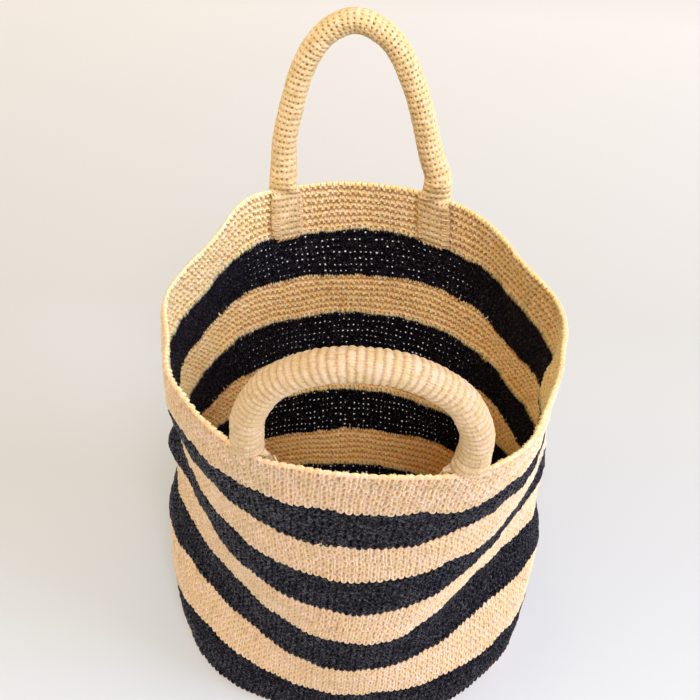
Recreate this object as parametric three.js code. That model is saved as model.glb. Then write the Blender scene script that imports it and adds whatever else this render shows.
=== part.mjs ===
// Striped raffia basket bag: a crocheted wall of natural and black bands on a flat oval base,
// with two tubular handles whose flattened ends are sewn to the inside of the rim band.
// Millimetres. +Z is up and -Y is the front. The origin is the middle of the base, on the ground.
import * as THREE from 'three';

// Crocheted cloth
const wallThickness = 4;
const clearance = 0.3;

// Main sizes: widest across and front to back, and cloth from the lowest stripe up to the rim
const bagWidth = 332;
const bagDepth = 330;
const wallHeight = 365;
const bandCount = 8;
const mouthTilt = 3;

// Heel, the rounds that turn up from the flat base
const heelRadius = 14;

// Plan of the wall at equal steps of height, from the lowest stripe's lower edge to the rim, as
// shares of bagWidth or bagDepth, halved. Back moves the plan to the back. Corner3x and corner3y
// make it squarer or more pointed, and skew turns it a little about the upright axis. Sway, a
// share of wallHeight, lifts the sides above the front and back.
const sections = [
  { wide: 1.02, deep: 0.79, back: 0.01, corner3x: -0.02, corner3y: 0.06, skew: 0.02, sway: 0.02 },
  { wide: 0.95, deep: 0.84, back: 0.1, corner3x: 0.08, corner3y: -0.01, skew: 0.03, sway: 0.04 },
  { wide: 0.9, deep: 0.87, back: 0.14, corner3x: -0.01, corner3y: -0.05, skew: 0.02, sway: 0.03 },
  { wide: 0.9, deep: 0.91, back: 0.08, corner3x: -0.03, corner3y: -0.02, skew: 0.02, sway: 0 },
  { wide: 0.79, deep: 1, back: -0.02, corner3x: -0.06, corner3y: 0, skew: 0.05, sway: -0.01 },
];

// Ripples of the mouth, then folds of the sagging wall. Each pushes the cloth out, or in if out is
// below zero, and up around one angle and height, as shares of the largest. At is a share of the
// wall's height, tall a share of the largest ripple's reach up and down the wall, and angle and
// spread are in degrees.
const rippleOut = 20;
const rippleUp = 10;
const rippleReach = 66;
const ripples = [
  { angle: 2, at: 1, out: 1, up: 0, spread: 16, tall: 1 },
  { angle: 135, at: 1, out: -0.15, up: 0.9, spread: 14, tall: 1 },
  { angle: 182, at: 1, out: 0.95, up: 0.2, spread: 16, tall: 1 },
  { angle: 210, at: 1, out: 0.5, up: 0.7, spread: 14, tall: 1 },
  { angle: 270, at: 1, out: -0.3, up: -0.2, spread: 22, tall: 1 },
  { angle: 216, at: 0.71, out: -0.3, up: 0.2, spread: 25, tall: 0.45 },
  { angle: 190, at: 0.53, out: 0.65, up: 0.4, spread: 10, tall: 0.4 },
  { angle: 332, at: 0.75, out: -0.2, up: 0.1, spread: 27, tall: 0.3 },
  { angle: 346, at: 0.53, out: 0.5, up: 0.4, spread: 13, tall: 0.76 },
  { angle: 320, at: 0.35, out: -0.4, up: 0.6, spread: 20, tall: 0.67 },
  { angle: 215, at: 0, out: -0.4, up: 0, spread: 28, tall: 0.3 },
  { angle: 320, at: 0, out: -0.6, up: 0.2, spread: 20, tall: 0.24 },
];

// Handle tube and the rope inside it
const sleeveRadius = 10;
const sleeveWall = 3.2;
const endStraight = 6;

// Flattened tube ends, sewn flat to the inside of the rim band, as tall as the band. The outline
// gives their width at places down from the rim, as shares of footWidth and footDrop.
const footWidth = 3 * sleeveRadius;
const footDrop = wallHeight / bandCount;
const footThickness = 8;
const footOutline = [
  { down: 1, wide: 0.7 },
  { down: 0.93, wide: 0.94 },
  { down: 0.5, wide: 1 },
  { down: 0.13, wide: 0.98 },
  { down: -0.02, wide: 0.9 },
];
const sectionPower = 0.5;

// Necks that carry the handles over the rim, to the line that each handle bends about. A handle
// laid out flat passes over the rim's crest by crestGap.
const crestGap = 1.5;
const pivotRise = sleeveRadius + crestGap;
const neckWidth = 2.1 * sleeveRadius;
const neckThickness = 1.24 * sleeveRadius;
const neckBase = { down: 0.5, inward: 0.35, wide: 1.08, thick: 0.95 };
const knuckleTurns = [0, 0.3, 0.6, 0.85];
const knuckleTaper = 0.15;

// Sewing thread round three sides of each foot
const threadRadius = 0.7;
const threadTop = 1;
const threadBend = 6;

// Arches, from the line that they bend about to the middle of the tube's top. Each route is the
// tube's centre line, across as a share of half the width and up as a share of the height.
const backArchWidth = 130;
const backArchHeight = 128;
const backArchX = -10.5;
const frontArchWidth = 122;
const frontArchHeight = 81;
const frontArchX = 3;
const frontLean = 15;
const handles = [
  {
    name: 'back',
    side: 1,
    middleX: backArchX,
    width: backArchWidth,
    height: backArchHeight,
    lean: 0,
    route: [[-1, 0], [-0.98, 0.24], [-0.88, 0.48], [-0.73, 0.73], [-0.48, 0.92], [-0.11, 1],
      [0.28, 0.9], [0.53, 0.7], [0.71, 0.47], [0.86, 0.22], [1, 0]],
  },
  {
    name: 'front',
    side: -1,
    middleX: frontArchX,
    width: frontArchWidth,
    height: frontArchHeight,
    lean: frontLean,
    route: [[-1, 0], [-0.93, 0.37], [-0.72, 0.69], [-0.48, 0.88], [-0.22, 0.98], [0.03, 1],
      [0.28, 0.98], [0.52, 0.88], [0.76, 0.68], [0.93, 0.35], [1, 0]],
  },
];

// How finely the solids are cut
const roundSteps = 60;
const bandRows = 2;
const heelSteps = 3;
const footPoints = 16;
const archSteps = 30;
const sleeveSides = 14;
const boreSides = 10;
const threadSteps = 20;
const threadSides = 6;

const naturalRaffia = new THREE.MeshStandardMaterial({ color: 0xdcb67c, roughness: 0.85, metalness: 0 });
const blackRaffia = new THREE.MeshStandardMaterial({ color: 0x17161a, roughness: 0.7, metalness: 0 });
const ropeFibre = new THREE.MeshStandardMaterial({ color: 0xc9a777, roughness: 0.95, metalness: 0 });
const sewingThread = new THREE.MeshStandardMaterial({ color: 0x9a6b35, roughness: 0.9, metalness: 0 });

const bag = new THREE.Group();

function addMesh(parent, name, geometry, material) {
  const mesh = new THREE.Mesh(geometry, material);
  mesh.name = name;
  parent.add(mesh);
}

// Smooth curve through the section values, straight on past the first and the last
function sectionValue(key, height) {
  const last = sections.length - 1;
  const place = height * last;
  const i = Math.min(Math.max(Math.floor(place), 0), last - 1);
  const t = place - i;
  const value = (j) => {
    if (j < 0) return 2 * sections[0][key] - sections[1][key];
    if (j > last) return 2 * sections[last][key] - sections[last - 1][key];
    return sections[j][key];
  };
  const [a, b, c, d] = [value(i - 1), value(i), value(i + 1), value(i + 2)];
  return b + 0.5 * t * (c - a + t * (2 * a - 5 * b + 4 * c - d + t * (3 * (b - c) + d - a)));
}

// Middle of the cloth at an angle round the bag, from +X, and a share of the wall's height
function wallMiddle(angle, height) {
  const cos = Math.cos(angle);
  const sin = Math.sin(angle);
  const across = sectionValue('wide', height) * cos - sectionValue('skew', height) * sin
    + sectionValue('corner3x', height) * Math.cos(3 * angle);
  const deep = sectionValue('deep', height) * sin + sectionValue('back', height)
    + sectionValue('corner3y', height) * Math.sin(3 * angle);
  const rise = wallHeight * (height + sectionValue('sway', height) * Math.cos(2 * angle));
  const point = new THREE.Vector3(
    (bagWidth / 2) * across,
    (bagDepth / 2) * deep,
    heelRadius + rise + mouthTilt * height * sin,
  );
  for (const ripple of ripples) {
    const away = (ripple.at - height) * wallHeight;
    const fade = Math.exp(-((away / (rippleReach * ripple.tall)) ** 2));
    const turn = THREE.MathUtils.euclideanModulo(
      THREE.MathUtils.radToDeg(angle) - ripple.angle + 180, 360) - 180;
    const share = fade * Math.exp(-((turn / ripple.spread) ** 2));
    point.x += rippleOut * ripple.out * share * cos;
    point.y += rippleOut * ripple.out * share * sin;
    point.z += rippleUp * ripple.up * share;
  }
  return point;
}

// Direction out of the bag, and the length of cloth along a round for each radian
function wallFrame(angle, height) {
  const step = 0.001;
  const along = wallMiddle(angle + step, height).sub(wallMiddle(angle - step, height));
  const up = wallMiddle(angle, height + step).sub(wallMiddle(angle, height - step));
  const out = new THREE.Vector3().crossVectors(along, up).normalize();
  return { out, roundPerRadian: along.length() / (2 * step) };
}

function wallPoint(angle, height, offset) {
  return wallMiddle(angle, height).addScaledVector(wallFrame(angle, height).out, offset);
}

// One closed solid from a grid of rings of points. A loop of rings joins its last ring to its
// first, and an open row of rings gets a cap at each end. Each cell is cut along its shorter
// diagonal, so that neighbouring bands meet on alike faces.
function ringSolid(rings, loop) {
  const count = rings[0].length;
  const points = rings.flat();
  const faces = [];
  const rows = loop ? rings.length : rings.length - 1;
  for (let i = 0; i < rows; i += 1) {
    const next = (i + 1) % rings.length;
    for (let j = 0; j < count; j += 1) {
      const k = (j + 1) % count;
      const [a, b, c, d] = [i * count + j, i * count + k, next * count + k, next * count + j];
      const first = points[a].distanceTo(points[c]);
      const second = points[b].distanceTo(points[d]);
      if (first < second) faces.push([a, b, c], [a, c, d]);
      else faces.push([a, b, d], [b, c, d]);
    }
  }
  if (!loop) {
    for (const [row, flip] of [[0, true], [rings.length - 1, false]]) {
      const middle = rings[row].reduce((sum, p) => sum.add(p), new THREE.Vector3());
      points.push(middle.divideScalar(count));
      for (let j = 0; j < count; j += 1) {
        const [a, b] = [row * count + j, row * count + ((j + 1) % count)];
        faces.push(flip ? [points.length - 1, b, a] : [points.length - 1, a, b]);
      }
    }
  }
  let volume = 0;
  for (const [a, b, c] of faces) {
    volume += points[a].dot(new THREE.Vector3().crossVectors(points[b], points[c]));
  }
  const index = faces.flatMap(([a, b, c]) => (volume > 0 ? [a, b, c] : [a, c, b]));
  const geometry = new THREE.BufferGeometry().setFromPoints(points);
  geometry.setIndex(index);
  geometry.computeVertexNormals();
  return geometry;
}

function angleAt(step) {
  return (2 * Math.PI * step) / roundSteps;
}

// A band of the wall between two shares of its height
function bandSolid(low, high) {
  const half = wallThickness / 2;
  const rings = [];
  for (let step = 0; step < roundSteps; step += 1) {
    const ring = [];
    for (let row = 0; row <= bandRows; row += 1) {
      ring.push(wallPoint(angleAt(step), low + ((high - low) * row) / bandRows, half));
    }
    for (let row = bandRows; row >= 0; row -= 1) {
      ring.push(wallPoint(angleAt(step), low + ((high - low) * row) / bandRows, -half));
    }
    rings.push(ring);
  }
  return ringSolid(rings, true);
}

// The heel turns from the flat base up to the lowest stripe
function heelPoint(angle, turn, offset) {
  const top = wallMiddle(angle, 0);
  const inward = wallFrame(angle, 0).out.clone();
  inward.z = 0;
  inward.normalize().negate();
  const half = wallThickness / 2;
  const rise = top.z - half;
  const cos = Math.cos(turn);
  const sin = Math.sin(turn);
  const point = top.clone().addScaledVector(inward, heelRadius * (1 - sin));
  point.z = half + rise * (1 - cos);
  const slope = new THREE.Vector2(heelRadius * cos, rise * sin).normalize();
  point.addScaledVector(inward, -offset * slope.y);
  point.z -= offset * slope.x;
  return point;
}

function heelSolid() {
  const half = wallThickness / 2;
  const ringPoint = (angle, i, offset) => {
    if (i === heelSteps) return wallPoint(angle, -clearance / wallHeight, offset);
    return heelPoint(angle, (Math.PI / 2) * (i / heelSteps), offset);
  };
  const rings = [];
  for (let step = 0; step < roundSteps; step += 1) {
    const ring = [];
    for (let i = 0; i <= heelSteps; i += 1) ring.push(ringPoint(angleAt(step), i, half));
    for (let i = heelSteps; i >= 0; i -= 1) ring.push(ringPoint(angleAt(step), i, -half));
    rings.push(ring);
  }
  return ringSolid(rings, true);
}

// The base is flat and ends just inside the heel
function baseSolid() {
  const outline = new THREE.Shape();
  const points = [];
  for (let step = 0; step < roundSteps; step += 1) {
    const edge = heelPoint(angleAt(step), 0, 0);
    const inward = wallFrame(angleAt(step), 0).out.clone().setZ(0).normalize().negate();
    edge.addScaledVector(inward, clearance);
    points.push(new THREE.Vector2(edge.x, edge.y));
  }
  outline.setFromPoints(points);
  return new THREE.ExtrudeGeometry(outline, { depth: wallThickness, bevelEnabled: false });
}

addMesh(bag, 'base_disc', baseSolid(), naturalRaffia);
addMesh(bag, 'heel_band', heelSolid(), naturalRaffia);
const seamShare = clearance / wallHeight / 2;
for (let i = 0; i < bandCount; i += 1) {
  const low = i === 0 ? 0 : i / bandCount + seamShare;
  const high = i === bandCount - 1 ? 1 : (i + 1) / bandCount - seamShare;
  const fromTop = bandCount - i;
  const black = fromTop % 2 === 0;
  const number = Math.ceil(fromTop / 2);
  const name = fromTop === 1 ? 'rim_band' : `${black ? 'black' : 'natural'}_band_${number}`;
  addMesh(bag, name, bandSolid(low, high), black ? blackRaffia : naturalRaffia);
}

// Angle round the bag where the rim's middle line has the given X, on the front or the back
function rimAngle(x, side) {
  let low = side > 0 ? 0 : Math.PI;
  let high = low + Math.PI;
  const falling = side > 0;
  for (let i = 0; i < 40; i += 1) {
    const middle = (low + high) / 2;
    const right = wallMiddle(middle, 1).x > x;
    if (right === falling) low = middle;
    else high = middle;
  }
  return (low + high) / 2;
}

// Place on the rim of both feet of a handle, and the line that the handle bends about
function handleSeat(handle) {
  const feet = [-handle.width / 2, handle.width / 2].map((across) => {
    const angle = rimAngle(handle.middleX + across, handle.side);
    return { across, angle, crest: wallMiddle(angle, 1) };
  });
  const pivotY = (feet[0].crest.y + feet[1].crest.y) / 2;
  const pivotZ = Math.max(feet[0].crest.z, feet[1].crest.z) + pivotRise;
  return { feet, pivot: new THREE.Vector3(handle.middleX, pivotY, pivotZ) };
}

// Point on the inside of the rim band, across and down from the top middle of a foot
function insidePoint(foot, across, drop, depth) {
  const height = 1 - drop / wallHeight;
  const angle = foot.angle + across / wallFrame(foot.angle, height).roundPerRadian;
  return wallPoint(angle, height, -(wallThickness / 2 + depth));
}

// Rounded rectangle as pairs from -1 to 1
function footSection() {
  const power = (value) => Math.sign(value) * Math.abs(value) ** sectionPower;
  const pairs = [];
  for (let i = 0; i < footPoints; i += 1) {
    const turn = (2 * Math.PI * (i + 0.5)) / footPoints;
    pairs.push({ across: power(Math.cos(turn)), outward: power(Math.sin(turn)) });
  }
  return pairs;
}

// A flattened tube end: flat against the rim band, then a neck that rises over the rim and ends
// in a half round about the line that the handle bends about
function footSolid(foot, pivot) {
  const section = footSection();
  const flatRing = ({ down, wide }) => section.map(({ across, outward }) => insidePoint(
    foot,
    (footWidth / 2) * wide * across,
    footDrop * down,
    clearance + (footThickness / 2) * (1 - outward),
  ));
  const top = insidePoint(foot, 0, 0, clearance + footThickness / 2);
  const side = Math.sign(pivot.y);
  const neckRing = (z, inward, halfWidth, halfThickness) => {
    const x = THREE.MathUtils.lerp(pivot.x + foot.across, top.x, inward);
    const y = THREE.MathUtils.lerp(pivot.y, top.y, inward);
    return section.map(({ across, outward }) => new THREE.Vector3(
      x - side * halfWidth * across,
      y + side * halfThickness * outward,
      z,
    ));
  };
  const radius = neckThickness / 2;
  const rings = footOutline.map(flatRing);
  rings.push(neckRing(
    pivot.z - pivotRise * neckBase.down,
    neckBase.inward,
    (neckWidth / 2) * neckBase.wide,
    radius * neckBase.thick,
  ));
  for (const turn of knuckleTurns) {
    const lift = (turn * Math.PI) / 2;
    const halfWidth = (neckWidth / 2) * (1 - knuckleTaper * turn);
    rings.push(neckRing(pivot.z + radius * Math.sin(lift), 0, halfWidth, radius * Math.cos(lift)));
  }
  return ringSolid(rings, false);
}

// Sewing thread that lies in the corner between a foot's edge and the band
function threadSolid(foot) {
  const out = footWidth / 2 + clearance + threadRadius;
  const low = footDrop + clearance + threadRadius;
  const half = [[out, threadTop], [out, low / 2], [out, low - threadBend], [out - threadBend, low]];
  const stops = [...half.map(([across, drop]) => [-across, drop]), [0, low], ...half.reverse()];
  const depth = clearance + threadRadius;
  const path = new THREE.CatmullRomCurve3(
    stops.map(([across, drop]) => insidePoint(foot, across, drop, depth)), false, 'centripetal');
  const section = new THREE.Shape(circlePoints(threadRadius, threadSides));
  return new THREE.ExtrudeGeometry(section, { steps: threadSteps, extrudePath: path });
}

// Centre line of an arch in its own plane, from one neck to the other
function archPath(handle) {
  const start = neckThickness / 2 + clearance;
  const stops = handle.route.map(([across, up]) => new THREE.Vector3(
    (handle.width / 2) * across, 0, handle.height * up));
  const first = stops[0];
  const last = stops[stops.length - 1];
  return new THREE.CatmullRomCurve3([
    first.clone().setZ(start),
    first.clone().setZ(start + endStraight),
    ...stops.slice(1, -1),
    last.clone().setZ(start + endStraight),
    last.clone().setZ(start),
  ], false, 'centripetal');
}

function circlePoints(radius, sides) {
  const points = [];
  for (let i = 0; i < sides; i += 1) {
    const turn = (2 * Math.PI * i) / sides;
    points.push(new THREE.Vector2(radius * Math.cos(turn), radius * Math.sin(turn)));
  }
  return points;
}

function sleeveSolid(path) {
  const section = new THREE.Shape(circlePoints(sleeveRadius, sleeveSides));
  section.holes.push(new THREE.Path(circlePoints(sleeveRadius - sleeveWall, boreSides).reverse()));
  return new THREE.ExtrudeGeometry(section, { steps: archSteps, extrudePath: path });
}

function ropeSolid(path) {
  const radius = sleeveRadius - sleeveWall - clearance;
  const section = new THREE.Shape(circlePoints(radius, boreSides));
  return new THREE.ExtrudeGeometry(section, { steps: archSteps, extrudePath: path });
}

for (const handle of handles) {
  const { feet, pivot } = handleSeat(handle);
  feet.forEach((foot, i) => {
    const place = `${handle.name}_${i === 0 ? 'left' : 'right'}`;
    addMesh(bag, `${place}_foot`, footSolid(foot, pivot), naturalRaffia);
    addMesh(bag, `${place}_seam`, threadSolid(foot), sewingThread);
  });
  const arch = new THREE.Group();
  arch.name = `${handle.name}_arch`;
  arch.position.copy(pivot);
  arch.rotation.x = THREE.MathUtils.degToRad(-handle.side * handle.lean);
  const path = archPath(handle);
  addMesh(arch, `${handle.name}_handle_sleeve`, sleeveSolid(path), naturalRaffia);
  addMesh(arch, `${handle.name}_handle_rope`, ropeSolid(path), ropeFibre);
  bag.add(arch);
}

export default bag;
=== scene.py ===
"""Striped raffia basket bag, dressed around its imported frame. Shapes are worked out in millimetres."""

import math

import bpy
import numpy as np
from mathutils import Matrix, Vector


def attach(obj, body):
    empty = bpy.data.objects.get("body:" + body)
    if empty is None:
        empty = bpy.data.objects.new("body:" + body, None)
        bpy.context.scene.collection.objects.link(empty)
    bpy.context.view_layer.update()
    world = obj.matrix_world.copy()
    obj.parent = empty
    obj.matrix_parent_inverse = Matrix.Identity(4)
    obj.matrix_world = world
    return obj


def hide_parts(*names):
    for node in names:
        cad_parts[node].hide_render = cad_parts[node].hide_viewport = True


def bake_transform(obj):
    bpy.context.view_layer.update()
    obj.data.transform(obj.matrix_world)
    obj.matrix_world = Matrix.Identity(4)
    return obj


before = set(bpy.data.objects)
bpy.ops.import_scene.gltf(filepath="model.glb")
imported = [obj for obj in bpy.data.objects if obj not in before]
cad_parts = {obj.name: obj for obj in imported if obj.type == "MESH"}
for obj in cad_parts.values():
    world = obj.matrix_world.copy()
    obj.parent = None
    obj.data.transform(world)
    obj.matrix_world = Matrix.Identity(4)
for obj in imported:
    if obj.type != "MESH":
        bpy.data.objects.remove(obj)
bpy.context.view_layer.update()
rng = np.random.default_rng(7)

# Sizes, the same as the solids'
WALL_THICKNESS = 4.0
BAG_WIDTH, BAG_DEPTH, WALL_HEIGHT, BANDS, MOUTH_TILT = 332.0, 330.0, 365.0, 8, 3.0
HEEL_RADIUS = 14.0
# The wall's sections, from the base up: wide, deep, back, corner3x, corner3y, skew, sway
SECTIONS = np.array([
    (1.02, 0.79, 0.01, -0.02, 0.06, 0.02, 0.02),
    (0.95, 0.84, 0.1, 0.08, -0.01, 0.03, 0.04),
    (0.9, 0.87, 0.14, -0.01, -0.05, 0.02, 0.03),
    (0.9, 0.91, 0.08, -0.03, -0.02, 0.02, 0),
    (0.79, 1, -0.02, -0.06, 0, 0.05, -0.01),
])
RIPPLE_REACH, RIPPLE_OUT, RIPPLE_UP = 66.0, 20.0, 10.0
RIPPLES = [  # angle, at, out, up, spread, tall
    (2, 1, 1, 0, 16, 1), (135, 1, -0.15, 0.9, 14, 1), (182, 1, 0.95, 0.2, 16, 1),
    (210, 1, 0.5, 0.7, 14, 1), (270, 1, -0.3, -0.2, 22, 1), (216, 0.71, -0.3, 0.2, 25, 0.45),
    (190, 0.53, 0.65, 0.4, 10, 0.4), (332, 0.75, -0.2, 0.1, 27, 0.3), (346, 0.53, 0.5, 0.4, 13, 0.76),
    (320, 0.35, -0.4, 0.6, 20, 0.67), (215, 0, -0.4, 0, 28, 0.3), (320, 0, -0.6, 0.2, 20, 0.24),
]
SLEEVE_RADIUS = 10.0
FOOT_DROP = WALL_HEIGHT / BANDS
PIVOT_RISE = SLEEVE_RADIUS + 1.5
ARCHES = {
    "back": dict(side=1, x=-10.5, width=130.0, height=128.0, lean=0.0, route=[
        (-1, 0), (-0.98, 0.24), (-0.88, 0.48), (-0.73, 0.73), (-0.48, 0.92), (-0.11, 1),
        (0.28, 0.9), (0.53, 0.7), (0.71, 0.47), (0.86, 0.22), (1, 0)]),
    "front": dict(side=-1, x=3.0, width=122.0, height=81.0, lean=15.0, route=[
        (-1, 0), (-0.93, 0.37), (-0.72, 0.69), (-0.48, 0.88), (-0.22, 0.98), (0.03, 1),
        (0.28, 0.98), (0.52, 0.88), (0.76, 0.68), (0.93, 0.35), (1, 0)]),
}

# Crochet
STITCHES = 190
ROUNDS_PER_BAND = 7
ROUNDS = BANDS * ROUNDS_PER_BAND
ROUND_HEIGHT = 6.6
STITCH_WIDTH = 5.0
HEEL_ROUNDS = 3


def catmull(table, place):
    """Rows of a table at fractional places along it, straight on past both ends."""
    table = np.asarray(table, float)
    last = len(table) - 1
    place = np.asarray(place, float)
    i = np.clip(np.floor(place).astype(int), 0, last - 1)
    t = (place - i)[..., None]
    more = np.vstack([2 * table[0] - table[1], table, 2 * table[-1] - table[-2]])
    a, b, c, d = (more[i + k] for k in range(4))
    return b + 0.5 * t * (c - a + t * (2 * a - 5 * b + 4 * c - d + t * (3 * (b - c) + d - a)))


def degrees_from(angle, u):
    """From an angle in degrees to one in radians, the shorter way."""
    return (np.degrees(u) - angle + 180) % 360 - 180


def wall(u, h):
    """Middle of the cloth at an angle from +X and a share of the wall's height."""
    u, h = np.broadcast_arrays(np.asarray(u, float), np.asarray(h, float))
    wide, deep, back, c3x, c3y, skew, sway = np.moveaxis(
        catmull(SECTIONS, h * (len(SECTIONS) - 1)), -1, 0)
    c, s = np.cos(u), np.sin(u)
    x = BAG_WIDTH / 2 * (wide * c - skew * s + c3x * np.cos(3 * u))
    y = BAG_DEPTH / 2 * (deep * s + back + c3y * np.sin(3 * u))
    z = HEEL_RADIUS + WALL_HEIGHT * (h + sway * np.cos(2 * u)) + MOUTH_TILT * h * s
    for angle, at, out, up, spread, tall in RIPPLES:
        turn = degrees_from(angle, u)
        fade = np.exp(-(((at - h) * WALL_HEIGHT / (RIPPLE_REACH * tall)) ** 2))
        share = fade * np.exp(-((turn / spread) ** 2))
        x = x + RIPPLE_OUT * out * share * c
        y = y + RIPPLE_OUT * out * share * s
        z = z + RIPPLE_UP * up * share
    return np.stack([x, y, z], -1)


def unit(v):
    return v / np.maximum(np.linalg.norm(v, axis=-1, keepdims=True), 1e-9)


def run_along(points):
    """Length of a line up to each of its points."""
    return np.append(0, np.cumsum(np.linalg.norm(np.diff(points, axis=0), axis=1)))


def resample(places, run, table):
    """Rows of a table at other places of its run."""
    return np.stack([np.interp(places, run, column) for column in table.T], -1)


def wall_frame(u, h, step=1e-3):
    """Outward direction, and millimetres of cloth for each radian."""
    along = wall(u + step, h) - wall(u - step, h)
    up = wall(u, h + step) - wall(u, h - step)
    return unit(np.cross(along, up)), np.linalg.norm(along, axis=-1) / (2 * step)


# angle round the bag for an equal share of each round's length, so that stitches are even
ARC_Y = np.linspace(-1, ROUNDS + 1, 117)
ARC_A = np.linspace(0, 1, 361)


def _arc_table():
    u = np.linspace(0, 2 * np.pi, 721)
    rows = []
    for y in ARC_Y:
        run = run_along(wall(u, y / ROUNDS))
        rows.append(np.interp(ARC_A, run / run[-1], u) - 2 * np.pi * ARC_A)
    return np.array(rows)


ARC = _arc_table()


def angle_of(a, y):
    """Angle for a share of the way round (it may pass 1) at a height in rounds."""
    a, y = np.broadcast_arrays(a, y)
    turn = a % 1
    fy = np.clip((y - ARC_Y[0]) / (ARC_Y[1] - ARC_Y[0]), 0, len(ARC_Y) - 1.001)
    fa = np.clip(turn * (len(ARC_A) - 1), 0, len(ARC_A) - 1.001)
    i, j = fy.astype(int), fa.astype(int)
    ty, ta = fy - i, fa - j
    d = ((ARC[i, j] * (1 - ta) + ARC[i, j + 1] * ta) * (1 - ty)
         + (ARC[i + 1, j] * (1 - ta) + ARC[i + 1, j + 1] * ta) * ty)
    return 2 * np.pi * a + d


# Places where the rounds drift up or down, as hand-made rounds do
DRIFTS = [  # angle, round, rounds up, spread in degrees, spread in rounds
    (28, 42, -1.6, 13, 4), (22, 34, -1.3, 12, 4), (15, 27, -1.1, 9, 4), (36, 27, 0.8, 9, 4),
    (50, 14, 0.9, 14, 5), (108, 15, -0.5, 16, 5), (135, 38, 0.4, 14, 8), (160, 32, -0.8, 11, 9),
    (205, 14, 0.9, 9, 3), (197, 7, -1.4, 9, 3), (228, 21, 0.8, 18, 3), (233, 42, 0.9, 9, 3),
    (260, 28, 0.5, 28, 3), (262, 42, -0.5, 22, 3), (265, 21, 0.3, 20, 3), (267, 7, -0.8, 6, 2),
    (272, 49, -0.3, 25, 3), (272, 14, 0.4, 12, 3), (294, 49, -1.1, 7, 3), (299, 28, 1.2, 14, 3),
    (299, 42, 0.5, 8, 3), (302, 21, 1.1, 8, 3), (305, 35, -0.7, 6, 3), (28, 56, 0.7, 22, 6),
    (168, 56, 0.8, 12, 6), (219, 56, 0.7, 9, 6), (268, 56, 0.38, 19, 4), (223, 49, -0.4, 5, 3),
    (247, 56, -0.35, 4.5, 3), (294, 56, -0.3, 4.5, 3), (79, 49, 0.35, 14, 3), (108, 49, -0.3, 8, 3),
    (58, 49, -0.35, 8, 3), (335, 42, -2.4, 13, 3.5), (338, 35, 2.8, 10, 3.5), (341, 28, 3.2, 11, 3),
]
# Places where the cloth curls out or in: the rim turns outwards at the right, over a crease
CURLS = [  # angle, round, millimetres outwards, spread in degrees, spread in rounds
    (341, 56, 6.0, 10, 3), (347, 49.5, -7.0, 10, 3.5),
]
# The waviness fades within so many rounds of the rim and of the heel. This much of it out and in is left
CALM_TOP, CALM_FOOT, CALM_LEAST = 6, 4, 0.35


def bumps(table, u, y):
    """Sum of the soft bumps in DRIFTS or CURLS at an angle and a height in rounds."""
    total = 0
    for angle, row, reach, spread, tall in table:
        turn = degrees_from(angle, u)
        total = total + reach * np.exp(-((turn / spread) ** 2) - ((y - row) / tall) ** 2)
    return total


def waviness(u, y):
    """Hand-made waviness, small and the same for all bands: rounds up or down, millimetres out or in."""
    lift = (0.10 * np.sin(5 * u + 0.21 * y) + 0.08 * np.sin(11 * u - 0.33 * y + 1.0)
            + 0.05 * np.sin(23 * u + 0.9 * y + 2.0))
    out = (0.7 * np.sin(7 * u + 0.35 * y + 0.5) * np.sin(0.22 * y + 1.3)
           + 0.45 * np.sin(17 * u - 0.6 * y) + 0.25 * np.sin(31 * u + 1.3 * y + 0.7))
    return lift, out


def wall_cloth(a, y, off):
    """Point of the wall's cloth: share of the way round, height in rounds, millimetres out of its middle."""
    u = angle_of(a, y)
    lift, out = waviness(u, y)
    calm = np.clip((ROUNDS - y) / CALM_TOP, 0, 1) * np.clip(y / CALM_FOOT, 0, 1)
    h = (y + lift * calm + bumps(DRIFTS, u, y)) / ROUNDS
    n, _ = wall_frame(u, h)
    out = out * (CALM_LEAST + (1 - CALM_LEAST) * calm)
    return wall(u, h) + n * (off + bumps(CURLS, u, y) + out)[..., None]


def heel_cloth(a, y, off):
    """The same for the rounds that turn up from the base, y from 0 at the base to HEEL_ROUNDS."""
    u = angle_of(a, np.zeros_like(y))
    top = wall(u, 0)
    n, _ = wall_frame(u, 0)
    inward = unit(-n * np.array([1, 1, 0]))
    half = WALL_THICKNESS / 2
    turn = np.pi / 2 * y / HEEL_ROUNDS
    rise = top[..., 2] - half
    c, s = np.cos(turn), np.sin(turn)
    p = top + inward * (HEEL_RADIUS * (1 - s))[..., None]
    p[..., 2] = half + rise * (1 - c)
    slope = unit(np.stack([HEEL_RADIUS * c, rise * s], -1))
    p = p - inward * (off * slope[..., 1])[..., None]
    p[..., 2] -= off * slope[..., 0]
    return p


def base_cloth(a, share, off):
    """The flat base: share is 1 at the heel and 0 in the middle, off is downwards."""
    edge = heel_cloth(a, np.zeros_like(share), np.zeros_like(share))
    p = edge * share[..., None]
    p[..., 2] = WALL_THICKNESS / 2 - off
    return p


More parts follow.
